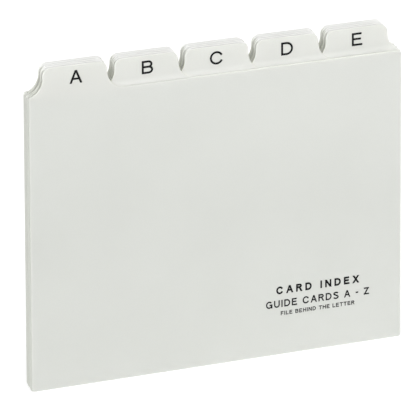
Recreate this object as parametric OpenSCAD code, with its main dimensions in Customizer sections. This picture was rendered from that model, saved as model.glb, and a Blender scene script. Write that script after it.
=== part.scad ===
// Alphabetical index guide set: thin plastic cards with a lettered tab each, standing in one stack.
// The guides stand on their long bottom edges, the first one in front (-Y) and the last at the back (+Y).
// The tabs step across the width in a few columns, then start again from the left.
// Frame: +X across the guides, +Y from front to back, +Z up, origin under the middle of the stack.
// Millimetres.

/* [Guide card] */
// Width of a guide, the long side of an A6 card
card_w = 148; // [120:1:210]
// Height of a guide below its tab, the short side of an A6 card
card_h = 105; // [74:1:148]
// Thickness of the plastic sheet
sheet_t = 0.3; // [0.2:0.05:0.6]
// Radius of the four corners of the card
corner_r = 1; // [0.5:0.1:2]

/* [Tab] */
// Number of tab positions across the width
tab_columns = 5; // [3:1:6]
// Height of a tab above the card
tab_h = 10; // [10:0.5:16]
// Clear gap between two neighbouring tab positions
tab_gap = 3; // [2:0.1:6]
// Distance from the card's side to the nearest tab
tab_margin = 5.25; // [4:0.05:6.5]
// Radius of the rounded top of a tab's side
tab_top_r = 3; // [1:0.1:3]
// Radius of the hollow curve from a tab's side down to the card
tab_foot_r = 6.5; // [6.5:0.1:7]

/* [Stack] */
// Air between one sheet and the next in the loose stack
air_gap = 0.13; // [0.02:0.01:0.2]
// How far each guide stands to the right of the one before it
lean_step = 0.14; // [0:0.01:0.2]
// Largest sideways slip of a single guide out of that line
slip = 0.25; // [0:0.01:0.4]

/* [Hidden] */
LABELS = ["a", "b", "c", "d", "e", "f", "g", "h", "i", "j", "k", "l", "m",
          "n", "o", "p", "q", "r", "s", "t", "u", "v", "w", "xy", "z"];
guides = len(LABELS);
pitch = sheet_t + air_gap;
tab_w = (card_w - 2 * tab_margin - (tab_columns - 1) * tab_gap) / tab_columns;
slip_start = 45; // degrees into the slip's sine wave at the first guide
slip_turn = 110; // degrees from one guide's slip to the next, so that no two neighbours match
past = 1; // how far a cutter reaches past the card
corner_sides = 64; // sides of the corners' arcs
tab_sides = 128; // sides of the tabs' larger arcs

// Left side of the tab of guide number i
function tab_x(i) = tab_margin + (i % tab_columns) * (tab_w + tab_gap);

// Sideways place of guide number i in the stack
function guide_x(i) = lean_step * (i - (guides - 1) / 2) + slip * sin(slip_start + slip_turn * i);

// Front-to-back place of the middle of guide number i
function guide_y(i) = pitch * (i - (guides - 1) / 2);

// How far the centre of a tab's foot curve lies outside a card's side that is margin away from the tab
function foot_reach(margin) = tab_foot_r - margin;

// Height of the centre of a top corner's arc, which meets the foot curve if that runs off the card
function corner_z(reach) = reach > -corner_r
    ? card_h + tab_foot_r - sqrt(pow(tab_foot_r + corner_r, 2) - pow(corner_r + reach, 2))
    : card_h - corner_r;

// Width of what a top corner's arc takes off
function corner_cut(reach) = reach > -corner_r
    ? corner_r * (tab_foot_r - reach) / (tab_foot_r + corner_r)
    : corner_r;

// Takes one top corner off at the left side, beside a tab that is margin away
module top_corner_cutter(margin) {
    reach = foot_reach(margin);
    difference() {
        translate([-past, corner_z(reach)])
            square([corner_cut(reach) + past, tab_h]);
        translate([corner_r, corner_z(reach)])
            circle(corner_r, $fn = corner_sides);
    }
}

// Takes one bottom corner off at the left side
module bottom_corner_cutter() {
    difference() {
        translate([-past, -past])
            square([corner_r + past, corner_r + past]);
        translate([corner_r, corner_r])
            circle(corner_r, $fn = corner_sides);
    }
}

// The hollow curve at the foot of a tab's left side
module tab_foot() {
    difference() {
        translate([-tab_foot_r, 0])
            square(tab_foot_r);
        translate([-tab_foot_r, tab_foot_r])
            circle(tab_foot_r, $fn = tab_sides);
    }
}

// One tab, from its left side at x = 0
module tab_outline() {
    square([tab_w, tab_h - tab_top_r]);
    translate([tab_top_r, 0])
        square([tab_w - 2 * tab_top_r, tab_h]);
    for (x = [tab_top_r, tab_w - tab_top_r])
        translate([x, tab_h - tab_top_r])
            circle(tab_top_r, $fn = tab_sides);
    tab_foot();
    translate([tab_w, 0])
        mirror([1, 0])
            tab_foot();
}

// Flat outline of guide number i, from its bottom left corner
module guide_outline(i) {
    left_margin = tab_x(i);
    right_margin = card_w - tab_w - tab_x(i);
    difference() {
        intersection() {
            union() {
                square([card_w, card_h]);
                translate([tab_x(i), card_h])
                    tab_outline();
            }
            square([card_w, card_h + tab_h]);
        }
        top_corner_cutter(left_margin);
        bottom_corner_cutter();
        translate([card_w, 0])
            mirror([1, 0]) {
                top_corner_cutter(right_margin);
                bottom_corner_cutter();
            }
    }
}

// One guide card, standing in its place in the stack
module guide(i) {
    color(i % 2 == 0 ? "gainsboro" : "whitesmoke")
        translate([guide_x(i) - card_w / 2, guide_y(i) + sheet_t / 2, 0])
            rotate([90, 0, 0])
                linear_extrude(height = sheet_t)
                    guide_outline(i);
}

for (i = [0 : guides - 1])
    guide(i);
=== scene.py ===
"""Looks for 25 alphabetical index guides: thin off-white plastic cards with a letter on each tab."""

import math

import bmesh
import bpy
from mathutils import Matrix, Vector
from mathutils.geometry import delaunay_2d_cdt


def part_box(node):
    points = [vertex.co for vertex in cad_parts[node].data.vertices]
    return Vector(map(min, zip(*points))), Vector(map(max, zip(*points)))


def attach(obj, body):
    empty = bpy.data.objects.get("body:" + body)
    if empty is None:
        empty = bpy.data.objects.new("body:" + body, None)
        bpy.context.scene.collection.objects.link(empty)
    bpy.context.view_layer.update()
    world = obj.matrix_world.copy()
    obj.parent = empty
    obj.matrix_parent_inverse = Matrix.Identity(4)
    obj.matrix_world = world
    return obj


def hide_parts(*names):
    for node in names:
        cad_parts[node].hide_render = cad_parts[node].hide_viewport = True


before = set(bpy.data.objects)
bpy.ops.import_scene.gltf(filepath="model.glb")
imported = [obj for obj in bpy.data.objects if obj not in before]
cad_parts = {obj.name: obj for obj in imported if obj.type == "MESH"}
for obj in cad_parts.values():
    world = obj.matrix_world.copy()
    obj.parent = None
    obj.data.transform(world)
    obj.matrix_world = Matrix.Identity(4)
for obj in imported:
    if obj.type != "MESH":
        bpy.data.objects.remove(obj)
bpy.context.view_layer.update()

# ---------------------------------------------------------------- sizes, in millimetres
MM = 0.001
LABELS = [*"ABCDEFGHIJKLMNOPQRSTUVW", "XY", "Z"]
COLUMNS = 5  # tab positions across the width
TAB_H = 10.0
TAB_GAP = 3.0
TAB_MARGIN = 5.25  # from the card's side to the nearest tab
TAB_TOP_R = 3.0
TAB_FOOT_R = 6.5
CORNER_R = 1.0
SAME_POINT = 1e-4  # points of an outline that are closer than this are one


def guide_node(label):
    return "guide_" + label.lower()


low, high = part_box(guide_node("A"))
CARD_W = round((high.x - low.x) / MM, 3)
SHEET_T = round((high.y - low.y) / MM, 3)
CARD_H = round(high.z / MM, 3) - TAB_H
TAB_W = (CARD_W - 2 * TAB_MARGIN - (COLUMNS - 1) * TAB_GAP) / COLUMNS

RIM_R = 0.07  # rounding that the cutting die leaves along both edges of the sheet
WORN_AND_SHEEN_RINGS = ((0.9, 0.0), (0.3, 0.6))  # inset and wear, which also paints a highlight, of two rings in the faces, near the edge
RIM_STEPS = 3
CORNER_STEPS = 8
FOOT_STEPS = 24
TOP_STEPS = 16

# ---------------------------------------------------------------- print, in millimetres
INK_PROUD = 0.016  # height of the print above the sheet
INK_SUNK = 0.004  # how deep its back lies in the sheet
LETTER_H = 4.68  # cap height on the tabs
LETTER_BASE = 3.4  # height of the letters' foot above the card
LETTER_STROKE = 0.155  # in cap heights
LETTER_GAP = 0.14  # between the two letters of a shared tab, in cap heights
LETTER_STRETCH = 1.11  # the tabs' letters are wider than the imprint's
# how far the print of each tab column stands right of the tab's middle
LETTER_SHIFTS = (0.36, 0.36, 0.0, -0.1, 0.1)
IMPRINT_MIDDLE = 114.0  # from the card's left side
IMPRINT_LINES = (  # words, height of the letters' foot, cap height, gap and stroke in cap heights
    ("CARD INDEX", 22.1, 2.8, 0.46, 0.235),
    ("GUIDE CARDS A - Z", 17.3, 2.6, 0.26, 0.19),
    ("FILE BEHIND THE LETTER", 14.3, 1.45, 0.24, 0.2),
)

# ---------------------------------------------------------------- colours, as 0 to 255 display values
SHEET_BODY = (213, 215, 210)
# the tabs, a shade paler: painted light, for light that comes through them from behind
SHEET_TAB_BACKLIT = (215, 216, 211)
SHEET_WORN_AND_SHEEN = (228, 229, 223)  # along the worn edges, also a painted highlight where light catches them
SHEET_LIT = (254, 255, 250)  # painted light, where light comes through the milky plastic
EDGE_DARK = (208, 210, 203)  # the cut rim, in its dark and its light marks
EDGE_LIGHT = (217, 219, 212)
EDGE_FRONT = (203, 204, 199)  # painted shade on the rim along the card's top, on guides of the first tab column
EDGE_NOTCH_SHADE = (203, 206, 189)  # painted shade, darker and olive, on the rim low in the gaps between tabs
EDGE_TIP_LIT = (238, 240, 232)  # painted light on the rim high on a tab, and where it stands free
EDGE_TOP_LIT = (221, 222, 217)  # painted light, less than behind, on the front half of the rim along the tops of the first five tabs
INK_DARK = (9, 9, 9)
INK_LIGHT = (18, 18, 19)

# ---------------------------------------------------------------- bands where the materials change
# Heights, in millimetres above the card's top, where a tab begins
BODY_TO_TAB = (-4.0, 2.0)
ON_TAB = (-0.6, 0.1)
FOOT_GLOW_BAND = (-0.3, 2.8)
WIDE_GLOW_BAND = (2.0, TAB_H)
TOP_BAND = (TAB_H - 1.6, TAB_H - 0.5)
SHOULDER_BAND = (-1.5, -0.5)
NOTCH_BAND = (0.2, 1.5)
OPEN_BAND = (2.0, 5.0)
TIP_BAND = (3.5, 7.5)
# Distances from the middle of the card
HALF_SPAN = 75.0
OPEN_SIDE = (65.0, 69.0)  # outside this the rim has no neighbour
# Values of the mesh's ledge attribute, which is 0 in the first tab column and 1 in the last
LEDGE_POWER = 0.4
PAST_FIRST_COLUMN = (0.1, 0.4)
PAST_SECOND_COLUMN = (0.55, 0.85)

# ---------------------------------------------------------------- surface detail
SIDEWAYS_PAINTED_LIGHT = (0.985, 1.01)  # painted light: factors on the faces' colour, from left to right
UPWARD_PAINTED_LIGHT = (0.99, 1.035)  # painted light: the same, from half way up to the card's top
CLOUD_TONE = (0.985, 1.01)
FLECK_TONE = (0.992, 1.006)
CLOUD_SCALE = 0.03  # of the noises, per millimetre
FLECK_SCALE = 1.7
WEAR_AND_SHEEN_SCALE = 0.35
HAZE_SCALE = 0.12
GRAIN_SCALE = 5.0
EDGE_MARK_SCALE = 6.0
FILM_SCALE = 3.0
TOOTH_SCALE = 12.0
NOISE_SPAN = (0.3, 0.7)  # most of a noise's values lie in here
FLECK_SPAN = (0.3, 0.75)
WEAR_AND_SHEEN_SPAN = (0.35, 0.65)
MARK_STRETCH = (1.0, 0.25, 1.0)  # draws the rim's marks out across the sheet's thickness
GRAIN_BUMP = (0.12, 0.02)  # strength of the bumps, and their depth in millimetres
MARK_BUMP = (0.2, 0.02)
TOOTH_BUMP = (0.15, 0.01)
WEAR_AND_SHEEN_LEAST = 0.35  # share of the wear and painted edge highlight that is left where it is patchy
WEAR_AND_SHEEN_TONE = 0.3  # how far wear and the painted edge highlight turn the colour
WEAR_POLISH = 0.12  # how much smoother wear makes the sheet
FOOT_GLOW = 0.7  # how far the painted glow turns the colour, close to a tab's foot
WIDE_GLOW = 0.04  # the same, up the whole tab
OPEN_TONES = (0.75, 0.1)  # how far the outermost rims are painted paler, as nothing beside them shades them, from the foot up
FACE_ROUGHNESS = (0.44, 0.52)
EDGE_ROUGHNESS = (0.55, 0.7)
INK_ROUGHNESS = (0.5, 0.62)
INK_SPECULAR = 0.2
PLASTIC_IOR = 1.45
SCATTER = 0.6 * MM  # how far light spreads in the plastic


# ---------------------------------------------------------------- material helpers
def linear(red, green, blue):
    """A colour given as 0 to 255 display values, as the linear values that a shader takes."""
    values = [c / 255 for c in (red, green, blue)]
    return [c / 12.92 if c <= 0.04045 else ((c + 0.055) / 1.055) ** 2.4 for c in values] + [1.0]


class Nodes:
    """A short way to write a material's node tree."""

    def __init__(self, name):
        self.material = bpy.data.materials.new(name)
        self.material.use_nodes = True
        self.tree = self.material.node_tree
        self.shader = self.tree.nodes["Principled BSDF"]

    def add(self, kind, settings=None, **inputs):
        node = self.tree.nodes.new("ShaderNode" + kind)
        for key, value in (settings or {}).items():
            setattr(node, key, value)
        for key, value in inputs.items():
            self.put(node.inputs[key], value)
        return node

    def put(self, socket, value):
        if isinstance(value, bpy.types.NodeSocket):
            self.tree.links.new(value, socket)
        else:
            socket.default_value = value

    def surface(self, name, value):
        """Gives one of the shader's inputs a value, or links it to one."""
        self.put(self.shader.inputs[name], value)

    def math(self, operation, a, b=0.0):
        node = self.add("Math", {"operation": operation})
        for socket, value in zip(node.inputs, (a, b)):
            self.put(socket, value)
        return node.outputs[0]

    def times(self, a, b):
        return self.math("MULTIPLY", a, b)

    def ramp(self, value, low, high, out_low=0.0, out_high=1.0):
        """value taken from low..high to out_low..out_high with a soft start and end."""
        node = self.add("MapRange", {"interpolation_type": "SMOOTHSTEP"})
        for socket, number in zip(node.inputs, (value, low, high, out_low, out_high)):
            self.put(socket, number)
        return node.outputs["Result"]

    def rise(self, height, band, out_low=0.0, out_high=1.0):
        """The ramp of a height over a band that is given from the card's top."""
        return self.ramp(height, CARD_H + band[0], CARD_H + band[1], out_low, out_high)

    def mix(self, share, a, b, how="MIX"):
        settings = {"data_type": "RGBA", "blend_type": how}
        return self.add("Mix", settings, Factor=share, A=a, B=b).outputs["Result"]

    def attribute(self, name):
        return self.add("Attribute", {"attribute_name": name}).outputs["Fac"]

    def noise(self, place, scale, detail=3.0, roughness=0.5):
        node = self.add("TexNoise", Vector=place, Scale=scale, Detail=detail, Roughness=roughness)
        return node.outputs["Fac"]

    def place(self, scale=(1.0, 1.0, 1.0)):
        """The object's own coordinates in millimetres, stretched by scale."""
        coordinates = self.add("TexCoord").outputs["Object"]
        factor = [s / MM for s in scale]
        return self.add("Mapping", Vector=coordinates, Scale=factor).outputs["Vector"]

    def split(self, place):
        """How far along the card and how high a place is."""
        along, _, height = self.add("SeparateXYZ", Vector=place).outputs
        return along, height

    def bump(self, strength, depth, height):
        """Bumps up to depth millimetres high."""
        node = self.add("Bump", Strength=strength, Distance=depth * MM, Height=height)
        self.surface("Normal", node.outputs["Normal"])


# ---------------------------------------------------------------- materials
def sheet_material():
    """The flat faces: matt calendered plastic, a little lighter in the tabs and at the edges, with
    painted light: paler tabs, a painted highlight along the worn edges, faces painted lighter to the
    right and towards the card's top, and a painted glow at a tab's foot and top.
    """
    n = Nodes("sheet_face")
    place = n.place()
    along, height = n.split(place)
    # the tabs are painted a shade paler, for light that comes through them from behind
    tone = n.mix(n.rise(height, BODY_TO_TAB), linear(*SHEET_BODY), linear(*SHEET_TAB_BACKLIT))
    # painted light: the faces are painted lighter from left to right and towards the card's top, and
    # mixed with the random cloud and flecks
    sideways_light = n.ramp(along, -HALF_SPAN, HALF_SPAN, *SIDEWAYS_PAINTED_LIGHT)
    painted_light_ramp = n.times(n.ramp(height, 0.5 * CARD_H, CARD_H, *UPWARD_PAINTED_LIGHT), sideways_light)
    cloud = n.ramp(n.noise(place, CLOUD_SCALE), *NOISE_SPAN, *CLOUD_TONE)
    fleck = n.ramp(n.noise(place, FLECK_SCALE, detail=2.0), *FLECK_SPAN, *FLECK_TONE)
    tone_and_painted_light = n.times(n.times(cloud, fleck), painted_light_ramp)
    grey = n.add("CombineColor", Red=tone_and_painted_light, Green=tone_and_painted_light, Blue=tone_and_painted_light).outputs[0]
    tone = n.mix(1.0, tone, grey, "MULTIPLY")
    patchy = n.ramp(n.noise(place, WEAR_AND_SHEEN_SCALE), *WEAR_AND_SHEEN_SPAN, WEAR_AND_SHEEN_LEAST, 1.0)
    # the edges are lighter partly from wear and partly as a painted highlight where light catches them
    wear_and_sheen = n.times(n.attribute("wear_and_edge_sheen"), patchy)
    tone = n.mix(n.times(wear_and_sheen, WEAR_AND_SHEEN_TONE), tone, linear(*SHEET_WORN_AND_SHEEN))
    # painted glow at a tab's foot and top
    n.surface("Base Color", n.mix(glow(n, height), tone, linear(*SHEET_LIT)))
    haze = n.ramp(n.noise(place, HAZE_SCALE), *NOISE_SPAN, *FACE_ROUGHNESS)
    n.surface("Roughness", n.math("SUBTRACT", haze, n.times(wear_and_sheen, WEAR_POLISH)))
    n.bump(*GRAIN_BUMP, n.noise(place, GRAIN_SCALE, roughness=0.6))
    n.surface("IOR", PLASTIC_IOR)
    # the plastic lets a little light through, so that a sheet glows softly at its free edges
    n.shader.subsurface_method = "RANDOM_WALK"
    n.surface("Subsurface Weight", 1.0)
    n.surface("Subsurface Radius", (1.0, 1.0, 1.0))
    n.surface("Subsurface Scale", SCATTER)
    return n.material


def glow(n, height):
    """Painted light: how much paler the plastic is painted at a tab's foot and top, where light passes
    its thin edges.
    """
    near = n.rise(height, FOOT_GLOW_BAND, FOOT_GLOW, 0.0)
    wide = n.rise(height, WIDE_GLOW_BAND, WIDE_GLOW, 0.0)
    on_tab = n.rise(height, ON_TAB)
    foot = n.times(n.times(n.math("ADD", near, wide), n.attribute("ledge")), on_tab)
    top = n.times(n.rise(height, TOP_BAND), n.attribute("behind"))
    return n.math("MAXIMUM", foot, top)


def cut_edge_material():
    """The cut rim of a sheet: opaque, with marks across it, painted shade that is darker and olive low
    between tabs, and painted light high on the tabs, along their tops, on the outermost rims and, set
    per tab column, along the card's top.
    """
    n = Nodes("sheet_cut_edge")
    marks = n.noise(n.place(MARK_STRETCH), EDGE_MARK_SCALE, roughness=0.6)
    dark = linear(*EDGE_DARK)
    tip_lit = linear(*EDGE_TIP_LIT)
    tone = n.mix(n.ramp(marks, *NOISE_SPAN), dark, linear(*EDGE_LIGHT))
    along, height = n.split(n.place())
    ledge = n.attribute("ledge")
    # painted light and shade on the rim along the card's top, set per tab column
    shoulder_light_and_shade = n.mix(n.ramp(ledge, *PAST_FIRST_COLUMN), linear(*EDGE_FRONT), tip_lit)
    shoulder_light_and_shade = n.mix(n.ramp(ledge, *PAST_SECOND_COLUMN), shoulder_light_and_shade, dark)
    tone = n.mix(n.rise(height, SHOULDER_BAND), tone, shoulder_light_and_shade)
    # painted shade low in the gaps between tabs
    foot = n.rise(height, NOTCH_BAND)
    tone = n.mix(foot, tone, linear(*EDGE_NOTCH_SHADE))
    # painted light on the outermost rims, which have no neighbour to shade them
    outermost = n.ramp(n.math("ABSOLUTE", along), *OPEN_SIDE)
    unshaded = n.times(outermost, n.rise(height, OPEN_BAND, *OPEN_TONES))
    tone = n.mix(n.times(unshaded, foot), tone, tip_lit)
    # painted light on the rim high on a tab
    tone = n.mix(n.rise(height, TIP_BAND), tone, tip_lit)
    # painted light on the rims along the tabs' tops
    top_painted_light = n.mix(n.attribute("behind"), linear(*EDGE_TOP_LIT), linear(*SHEET_LIT))
    n.surface("Base Color", n.mix(n.rise(height, TOP_BAND), tone, top_painted_light))
    n.surface("Roughness", n.ramp(marks, *NOISE_SPAN, *EDGE_ROUGHNESS))
    n.bump(*MARK_BUMP, marks)
    n.surface("IOR", PLASTIC_IOR)
    return n.material


def ink_material():
    """Screen-printed black ink: matt, with a faintly uneven film."""
    n = Nodes("black_ink")
    place = n.place()
    film = n.noise(place, FILM_SCALE)
    n.surface("Base Color", n.mix(n.ramp(film, *NOISE_SPAN), linear(*INK_DARK), linear(*INK_LIGHT)))
    n.surface("Roughness", n.ramp(film, *NOISE_SPAN, *INK_ROUGHNESS))
    n.bump(*TOOTH_BUMP, n.noise(place, TOOTH_SCALE, detail=2.0))
    n.surface("Specular IOR Level", INK_SPECULAR)
    return n.material


# ---------------------------------------------------------------- a guide's outline
def arc(centre, radius, start, end, steps, hollow=False):
    """Points of an arc as (x, z, outward x, outward z), in degrees. A hollow arc bends inwards."""
    points = []
    side = -1.0 if hollow else 1.0
    for k in range(steps + 1):
        angle = math.radians(start + (end - start) * k / steps)
        across, up = math.cos(angle), math.sin(angle)
        x = centre[0] + radius * across
        z = centre[1] + radius * up
        points.append((x, z, side * across, side * up))
    return points


def tab_side(margin):
    """From a card's side to the top of its tab, which is margin away. x runs inwards from the side."""
    foot = (margin - TAB_FOOT_R, CARD_H + TAB_FOOT_R)
    reach = CORNER_R - foot[0]
    if reach > 0:  # the hollow curve runs off the card, and the corner's arc meets it
        rise = math.sqrt((TAB_FOOT_R + CORNER_R) ** 2 - reach ** 2)
        corner = (CORNER_R, CARD_H + TAB_FOOT_R - rise)
        meet = 180 - math.degrees(math.atan2(rise, reach))
    else:
        corner = (CORNER_R, CARD_H - CORNER_R)
        meet = 90.0
    top = (margin + TAB_TOP_R, CARD_H + TAB_H - TAB_TOP_R)
    return [
        *arc(corner, CORNER_R, 180, meet, CORNER_STEPS),
        *arc(foot, TAB_FOOT_R, meet - 180, 0, FOOT_STEPS, hollow=True),
        *arc(top, TAB_TOP_R, 180, 90, TOP_STEPS),
    ]


def mirrored(points):
    """The same run of points at the card's other side, so that the outline keeps turning one way."""
    return [(CARD_W - x, z, -across, up) for x, z, across, up in reversed(points)]


def outline(number):
    """The outline of guide number, counted from 0, clockwise from its bottom left corner."""
    left = TAB_MARGIN + (number % COLUMNS) * (TAB_W + TAB_GAP)
    right = CARD_W - TAB_W - left
    foot = arc((CORNER_R, CORNER_R), CORNER_R, 270, 180, CORNER_STEPS)
    return [*foot, *tab_side(left), *mirrored(tab_side(right)), *mirrored(foot)]


def without_doubles(points):
    """The outline without points that repeat the one before."""
    kept = []
    for point in points:
        if not kept or math.dist(kept[-1][:2], point[:2]) > SAME_POINT:
            kept.append(point)
    return kept


# ---------------------------------------------------------------- meshes
def new_piece(name, mesh_data, materials, body):
    """Links a finished mesh as a piece that rides on a body."""
    piece = bpy.data.objects.new(name, mesh_data)
    bpy.context.scene.collection.objects.link(piece)
    for material in materials:
        mesh_data.materials.append(material)
    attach(piece, body)
    return piece


def rim_profile():
    """Section of the sheet's rim from front to back, as (inset from the outline, depth, wear and
    painted edge highlight).
    """
    front = [(inset, 0.0, wear_and_sheen) for inset, wear_and_sheen in WORN_AND_SHEEN_RINGS]
    for k in range(RIM_STEPS + 1):
        angle = math.radians(90 * k / RIM_STEPS)
        inset = RIM_R * (1 - math.sin(angle))
        depth = RIM_R * (1 - math.cos(angle))
        front.append((inset, depth, 1.0))
    back = [(inset, SHEET_T - depth, wear_and_sheen) for inset, depth, wear_and_sheen in reversed(front)]
    return front + back


def guide_mesh(number, left, front):
    """A guide as a closed sheet with a rounded rim. Its front bottom left corner is at left, front."""
    points = without_doubles(outline(number))
    made = bmesh.new()
    wear_and_sheen_layer = made.verts.layers.float.new("wear_and_edge_sheen")
    ledge_layer = made.verts.layers.float.new("ledge")
    behind_layer = made.verts.layers.float.new("behind")
    ledge = ((number % COLUMNS) / (COLUMNS - 1)) ** LEDGE_POWER
    first_row = number < COLUMNS
    rings = []
    for inset, depth, wear_and_sheen in rim_profile():
        ring = []
        for x, z, across, up in points:
            spot = (left + x - inset * across, front + depth, z - inset * up)
            vertex = made.verts.new(Vector(spot) * MM)
            vertex[wear_and_sheen_layer] = wear_and_sheen
            vertex[ledge_layer] = ledge
            vertex[behind_layer] = 0.0 if first_row and depth < SHEET_T / 2 else 1.0
            ring.append(vertex)
        rings.append(ring)
    made.faces.new(rings[0])
    made.faces.new(reversed(rings[-1]))
    flat_rings = len(WORN_AND_SHEEN_RINGS)
    for k, (near, far) in enumerate(zip(rings, rings[1:])):
        on_rim = flat_rings <= k < len(rings) - 1 - flat_rings
        for j in range(len(points)):
            after = (j + 1) % len(points)
            face = made.faces.new((near[j], far[j], far[after], near[after]))
            face.material_index = 1 if on_rim else 0
            face.smooth = True
    bmesh.ops.recalc_face_normals(made, faces=made.faces)
    mesh = bpy.data.meshes.new("guide_mesh")
    made.to_mesh(mesh)
    made.free()
    return mesh


# ---------------------------------------------------------------- lettering
ARC_STEPS = 20
OVERSHOOT = 0.012  # how far a round letter reaches past the cap height, in units of it
WORD_SPACE = 0.35
CDT_INSIDE = 1  # the output type that leaves out what lies outside every stroke
CDT_NEAR = 1e-5  # corners closer than this are one, in cap heights
FLAT_ANGLE = math.radians(0.5)  # faces that meet more flatly are joined


def bar(x0, z0, x1, z1):
    return [(x0, z0), (x1, z0), (x1, z1), (x0, z1)]


def swing(x, z, across, up, start, end):
    """Points along part of an ellipse round (x, z), angles in degrees."""
    turns = [math.radians(start + (end - start) * k / ARC_STEPS) for k in range(ARC_STEPS + 1)]
    return [(x + across * math.cos(t), z + up * math.sin(t)) for t in turns]


class Pen:
    """Draws plain capital letters with one stroke width. All lengths are in units of the cap height."""

    def __init__(self, stroke):
        self.stroke = stroke
        self.half = stroke / 2

    def slant(self, x0, z0, x1, z1):
        """A sloping stroke with level ends. x0 and x1 are the middles of its ends."""
        half = self.half * math.hypot(x1 - x0, z1 - z0) / abs(z1 - z0)
        return [(x0 - half, z0), (x0 + half, z0), (x1 + half, z1), (x1 - half, z1)]

    def band(self, path):
        """A stroke along a smooth path with square ends."""
        near, far = [], []
        for k, (x, z) in enumerate(path):
            x0, z0 = path[max(k - 1, 0)]
            x1, z1 = path[min(k + 1, len(path) - 1)]
            length = math.hypot(x1 - x0, z1 - z0)
            off_x = self.half * (z0 - z1) / length
            off_z = self.half * (x1 - x0) / length
            near.append((x + off_x, z + off_z))
            far.append((x - off_x, z - off_z))
        return near + far[::-1]

    def bowl(self, turn, right, low, high):
        """The bowl of a D, from the stem round to the stem again. It starts to turn at x = turn."""
        half = self.half
        middle = (low + high) / 2
        curve = swing(turn, middle, right - half - turn, (high - low) / 2 - half, -90, 90)
        return self.band([(half, low + half), *curve, (half, high - half)])

    def ring(self, width, start, end):
        """Part of the ring of an O."""
        across = width / 2 - self.half
        up = 0.5 - self.half + OVERSHOOT
        return self.band(swing(width / 2, 0.5, across, up, start, end))

    def stem(self, x=0.0, z0=0.0, z1=1.0):
        return bar(x, z0, x + self.stroke, z1)

    def glyph(self, letter):
        """Width and strokes of a plain capital letter, with a cap height of 1."""
        s, half = self.stroke, self.half
        slant, band, bowl, ring, stem = self.slant, self.band, self.bowl, self.ring, self.stem
        if letter == "A":
            cross = bar(0.2, 0.27, 0.74, 0.27 + s * 0.95)
            return 0.94, [slant(0.073, 0, 0.47, 1), slant(0.867, 0, 0.47, 1), cross]
        if letter == "B":
            return 0.86, [stem(), bowl(0.52, 0.86, 0.0, 0.52 + half), bowl(0.5, 0.81, 0.52 - half, 1.0)]
        if letter == "C":
            return 1.02, [ring(1.03, 26, 336)]
        if letter == "D":
            return 0.92, [stem(), bowl(0.42, 0.92, 0.0, 1.0)]
        if letter == "E":
            arms = [bar(0, 0, 0.82, s), bar(0, 1 - s, 0.76, 1), bar(0, 0.52 - half, 0.71, 0.52 + half)]
            return 0.82, [stem(), *arms]
        if letter == "F":
            return 0.76, [stem(), bar(0, 1 - s, 0.76, 1), bar(0, 0.5 - half, 0.68, 0.5 + half)]
        if letter == "G":
            spur = [bar(0.56, 0.38, 1.0, 0.38 + s), bar(1.0 - s, 0.0, 1.0, 0.42)]
            return 1.0, [ring(1.0, 38, 335), *spur]
        if letter == "H":
            return 0.88, [stem(), stem(0.88 - s), bar(0, 0.52 - half, 0.88, 0.52 + half)]
        if letter == "I":
            return s, [stem()]
        if letter == "J":
            hook = swing(0.33, 0.31, 0.33 - half, 0.31 - half, 0, -172)
            return 0.66, [band([(0.66 - half, 1.0), *hook])]
        if letter == "K":
            return 0.9, [stem(), slant(0.02, 0.3, 0.78, 1), slant(0.82, 0, 0.3, 0.62)]
        if letter == "L":
            return 0.74, [stem(), bar(0, 0, 0.74, s)]
        if letter == "M":
            return 1.06, [stem(), stem(1.06 - s), slant(0.53, 0, 0.08, 1), slant(0.53, 0, 0.98, 1)]
        if letter == "N":
            return 0.9, [stem(), stem(0.9 - s), slant(0.82, 0, 0.08, 1)]
        if letter == "O":
            return 1.04, [ring(1.04, 90, 270), ring(1.04, 270, 450)]
        if letter == "P":
            return 0.82, [stem(), bowl(0.5, 0.82, 0.43, 1.0)]
        if letter == "Q":
            return 1.04, [ring(1.04, 90, 270), ring(1.04, 270, 450), slant(0.98, -0.03, 0.66, 0.28)]
        if letter == "R":
            return 0.88, [stem(), bowl(0.5, 0.83, 0.45, 1.0), slant(0.8, 0, 0.5, 0.5)]
        if letter == "S":
            upper = swing(0.43, 0.745, 0.43 - half - 0.02, 0.255 - half + OVERSHOOT, 15, 270)
            lower = swing(0.43, 0.275, 0.43 - half, 0.275 - half + OVERSHOOT, 90, -165)
            return 0.86, [band([*upper[:-1], *lower[1:]])]
        if letter == "T":
            return 0.86, [bar(0, 1 - s, 0.86, 1), stem(0.43 - half)]
        if letter == "U":
            cup = swing(0.44, 0.38, 0.44 - half, 0.38 - half + OVERSHOOT, 180, 360)
            return 0.88, [band([(half, 1.0), *cup, (0.88 - half, 1.0)])]
        if letter == "V":
            return 0.92, [slant(0.46, 0, 0.073, 1), slant(0.46, 0, 0.847, 1)]
        if letter == "W":
            feet = ((0.38, 0.07), (0.38, 0.67), (0.96, 0.67), (0.96, 1.27))
            return 1.34, [slant(foot, 0, top, 1) for foot, top in feet]
        if letter == "X":
            return 0.92, [slant(0.08, 0, 0.82, 1), slant(0.84, 0, 0.1, 1)]
        if letter == "Y":
            arms = [slant(0.46, 0.4, 0.08, 1), slant(0.46, 0.4, 0.84, 1)]
            return 0.92, [stem(0.46 - half, 0, 0.45), *arms]
        if letter == "Z":
            return 0.84, [bar(0, 0, 0.84, s), bar(0.02, 1 - s, 0.82, 1), slant(0.1, 0, 0.74, 1)]
        if letter == "-":
            return 0.4, [bar(0, 0.4, 0.4, 0.4 + s)]
        return WORD_SPACE, []

    def width(self, text, gap):
        """Width of a line of text with the given gap between letters."""
        return sum(self.glyph(letter)[0] + gap for letter in text) - gap


def round_pairs(corners):
    """Each corner of a closed shape with the next one."""
    return zip(corners, [*corners[1:], corners[0]])


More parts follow.
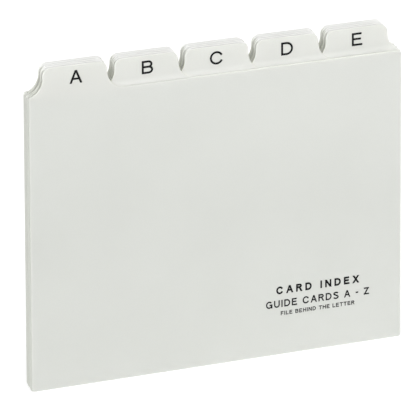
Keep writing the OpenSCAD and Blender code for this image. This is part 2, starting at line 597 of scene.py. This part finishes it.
def merged(strokes):
    """Overlapping strokes as one flat shape: its points and faces."""
    corners, loops = [], []
    for stroke in strokes:
        turn = sum(a[0] * b[1] - b[0] * a[1] for a, b in round_pairs(stroke))
        loop = stroke if turn > 0 else stroke[::-1]
        loops.append(list(range(len(corners), len(corners) + len(loop))))
        corners.extend(Vector(corner) for corner in loop)
    points, _, faces, _, _, sources = delaunay_2d_cdt(corners, [], loops, CDT_INSIDE, CDT_NEAR)
    return points, [face for face, source in zip(faces, sources) if source]


def print_letters(made, pen, text, left, base, height, y_face, gap, stretch=1.0):
    """Adds the text to a mesh as thin raised letters. left and base are its lower left corner."""
    wide = height * stretch
    x = left
    for letter in text:
        width, strokes = pen.glyph(letter)
        if strokes:
            points, faces = merged(strokes)
            layers = []
            for y in (y_face - INK_PROUD, y_face + INK_SUNK):
                spots = [Vector((x + p.x * wide, y, base + p.y * height)) * MM for p in points]
                layers.append([made.verts.new(spot) for spot in spots])
            front, back = layers
            edges = []
            for face in faces:
                made.faces.new([front[k] for k in face])
                made.faces.new([back[k] for k in reversed(face)])
                edges.extend(round_pairs(face))
            walked = set(edges)
            for a, b in edges:
                if (b, a) not in walked:  # no face on the other side
                    made.faces.new((front[a], back[a], back[b], front[b]))
        x += (width + gap) * wide


def finish_letters(made, name, body):
    """Cleans a lettering mesh and links it as a printed piece."""
    loose = [v for v in made.verts if not v.link_faces]
    bmesh.ops.delete(made, geom=loose, context="VERTS")
    bmesh.ops.recalc_face_normals(made, faces=made.faces)
    bmesh.ops.dissolve_limit(made, angle_limit=FLAT_ANGLE, verts=made.verts, edges=made.edges)
    mesh = bpy.data.meshes.new(name)
    made.to_mesh(mesh)
    made.free()
    return new_piece(name, mesh, [INK], body)


def tab_letter(number, label, left, y_face):
    """The index letter, centred on its tab but for the column's shift."""
    pen = Pen(LETTER_STROKE)
    column = number % COLUMNS
    tab_left = left + TAB_MARGIN + column * (TAB_W + TAB_GAP)
    middle = tab_left + TAB_W / 2 + LETTER_SHIFTS[column]
    start = middle - pen.width(label, LETTER_GAP) * LETTER_H * LETTER_STRETCH / 2
    base = CARD_H + LETTER_BASE
    made = bmesh.new()
    print_letters(made, pen, label, start, base, LETTER_H, y_face, LETTER_GAP, LETTER_STRETCH)
    return finish_letters(made, "letter_" + label.lower(), guide_node(label))


def imprint(left, y_face):
    """Three plain lines of print low on the right of the first guide."""
    made = bmesh.new()
    for text, base, height, gap, stroke in IMPRINT_LINES:
        pen = Pen(stroke)
        start = left + IMPRINT_MIDDLE - pen.width(text, gap) * height / 2
        print_letters(made, pen, text, start, base, height, y_face, gap)
    return finish_letters(made, "imprint", guide_node(LABELS[0]))


# ---------------------------------------------------------------- the object
FACE = sheet_material()
EDGE = cut_edge_material()
INK = ink_material()

for number, label in enumerate(LABELS):
    node = guide_node(label)
    near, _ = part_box(node)
    left = near.x / MM
    front = near.y / MM
    mesh = guide_mesh(number, left, front)
    guide = new_piece(node + "_sheet", mesh, [FACE, EDGE], node)
    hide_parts(node)
    tab_letter(number, label, left, front)

first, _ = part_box(guide_node(LABELS[0]))
imprint(first.x / MM, first.y / MM)


# ---------------------------------------------------------------- camera
def make_camera():
    """A long lens, low in front and to the left of the stack."""
    azimuth = math.radians(-28.46)
    elevation = math.radians(14.59)
    roll = math.radians(-0.23)
    distance = 2234 * MM
    aside, above = 3.54 * MM, 0.99 * MM  # how far right and up the stack's middle is in the picture
    aim = Vector((0, 0, (CARD_H + TAB_H) / 2 * MM))
    back = Vector((
        math.sin(azimuth) * math.cos(elevation),
        -math.cos(azimuth) * math.cos(elevation),
        math.sin(elevation),
    ))
    level = Vector((math.cos(azimuth), math.sin(azimuth), 0))
    rise = back.cross(level)
    right = level * math.cos(roll) + rise * math.sin(roll)
    up = rise * math.cos(roll) - level * math.sin(roll)
    data = bpy.data.cameras.new("camera")
    data.sensor_width = 36.0
    data.lens = 557.7
    data.clip_start = 0.1
    data.clip_end = 100.0
    camera = bpy.data.objects.new("camera", data)
    bpy.context.scene.collection.objects.link(camera)
    turn = Matrix((right, up, back)).transposed().to_4x4()
    place = aim + back * distance - right * aside - up * above
    camera.matrix_world = Matrix.Translation(place) @ turn
    bpy.context.scene.camera = camera


# ---------------------------------------------------------------- floor and light
FLOOR_HALF = 10.0  # metres
FLOOR_GREY = 0.5
FLOOR_LIGHT = 0.59  # what the floor adds of its own, so that it is white and evenly lit
SKY_STRENGTH = 0.52
TOP_LIGHT_FROM = (-0.25, -0.55, 1.0)
TOP_LIGHT_SPREAD = 60  # degrees across
TOP_LIGHT_STRENGTH = 0.69


def make_floor():
    """A wide plain white floor."""
    made = bmesh.new()
    bmesh.ops.create_grid(made, x_segments=1, y_segments=1, size=FLOOR_HALF)
    mesh = bpy.data.meshes.new("floor")
    made.to_mesh(mesh)
    made.free()
    n = Nodes("white_floor")
    n.surface("Base Color", (FLOOR_GREY, FLOOR_GREY, FLOOR_GREY, 1))
    n.surface("Roughness", 0.9)
    n.surface("Specular IOR Level", 0.1)
    n.surface("Emission Color", (1, 1, 1, 1))
    n.surface("Emission Strength", FLOOR_LIGHT)
    mesh.materials.append(n.material)
    floor = bpy.data.objects.new("floor", mesh)
    bpy.context.scene.collection.objects.link(floor)


def make_world():
    """An even white sky."""
    world = bpy.data.worlds.new("studio")
    world.use_nodes = True
    sky = world.node_tree.nodes["Background"]
    sky.inputs["Color"].default_value = (1, 1, 1, 1)
    sky.inputs["Strength"].default_value = SKY_STRENGTH
    bpy.context.scene.world = world
    bpy.context.scene.view_settings.view_transform = "Standard"


def make_top_light():
    """A very wide soft light from far away, above and in front of the stack."""
    data = bpy.data.lights.new("top_light", "SUN")
    data.angle = math.radians(TOP_LIGHT_SPREAD)
    data.energy = TOP_LIGHT_STRENGTH * math.pi
    light = bpy.data.objects.new("top_light", data)
    light.rotation_mode = "QUATERNION"
    light.rotation_quaternion = Vector(TOP_LIGHT_FROM).to_track_quat("Z", "Y")
    bpy.context.scene.collection.objects.link(light)


make_camera()
make_floor()
make_world()
make_top_light()
